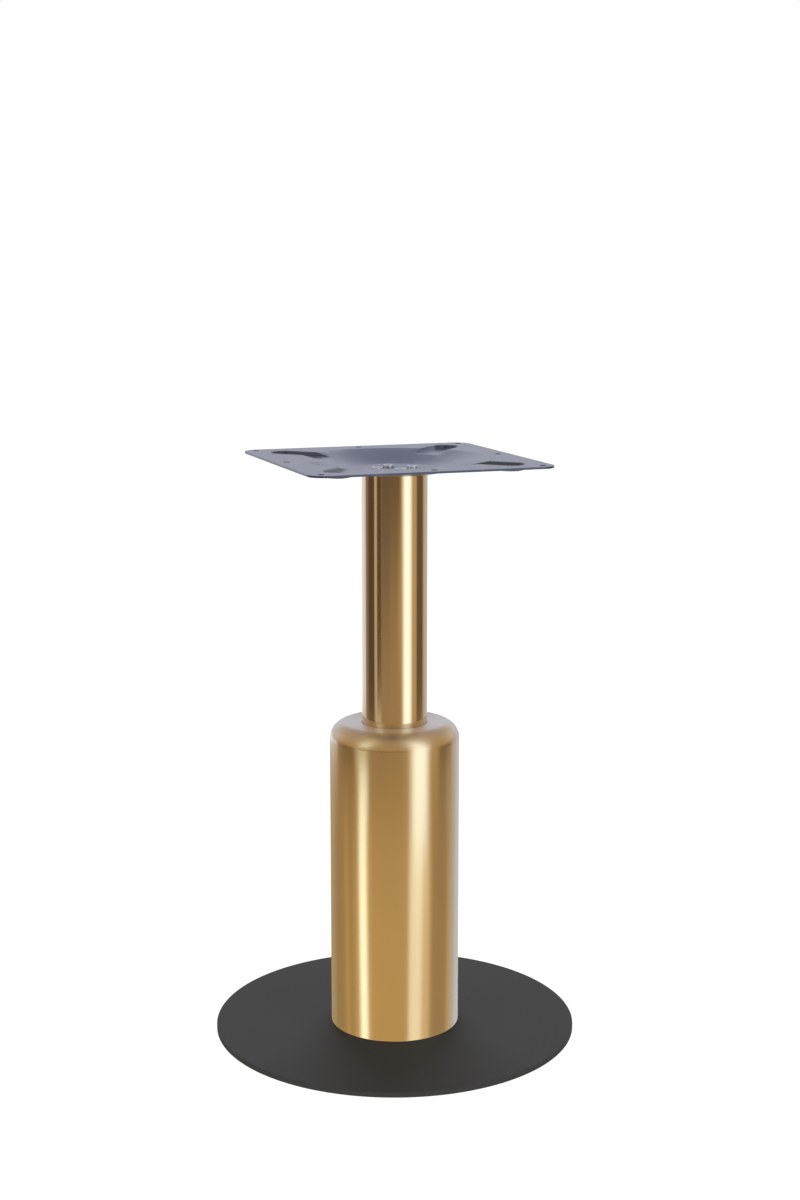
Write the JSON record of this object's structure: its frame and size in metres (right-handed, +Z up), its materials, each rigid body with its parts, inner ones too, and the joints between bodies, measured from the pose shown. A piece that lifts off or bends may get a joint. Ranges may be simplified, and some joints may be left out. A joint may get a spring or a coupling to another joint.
{
  "type": "pedestal table base",
  "caption": "Round-footed pedestal that carries a table top: disc base, slim column in a wide sleeve, and a pressed square fixing plate.",
  "frame": {"origin": "on the floor, on the column's axis", "axes": "+Z up along the column; the square plate's edges lie along X and Y"},
  "size_m": [0.4499, 0.45, 0.72],
  "materials": {
    "black_powder_coat": "matt, fine-grained powder coat",
    "grey_plate_paint": "satin blue-grey paint on pressed sheet",
    "polished_brass_column": "polished brass-coloured plating",
    "satin_brass_sleeve": "fine satin brass-coloured plating",
    "turned_steel": "turned and welded",
    "zinc_fasteners": "bright zinc",
    "black_nylon": "moulded",
    "pad_rubber": "matt"
  },
  "bodies": {
    "root": {"floor_pad_1": "pad_rubber", "floor_pad_2": "pad_rubber", "floor_pad_3": "pad_rubber", "floor_pad_4": "pad_rubber", "floor_pad_5": "pad_rubber", "floor_pad_6": "pad_rubber", "base_disc": "black_powder_coat", "foot_flange": "turned_steel", "column_tube": "polished_brass_column", "column_head": "turned_steel", "sleeve": "satin_brass_sleeve", "sleeve_ring": "black_nylon", "base_screws": "zinc_fasteners", "ring_screws": "zinc_fasteners", "top_plate": "grey_plate_paint", "top_washers": "zinc_fasteners", "top_screws": "zinc_fasteners"}
  },
  "joints": []
}
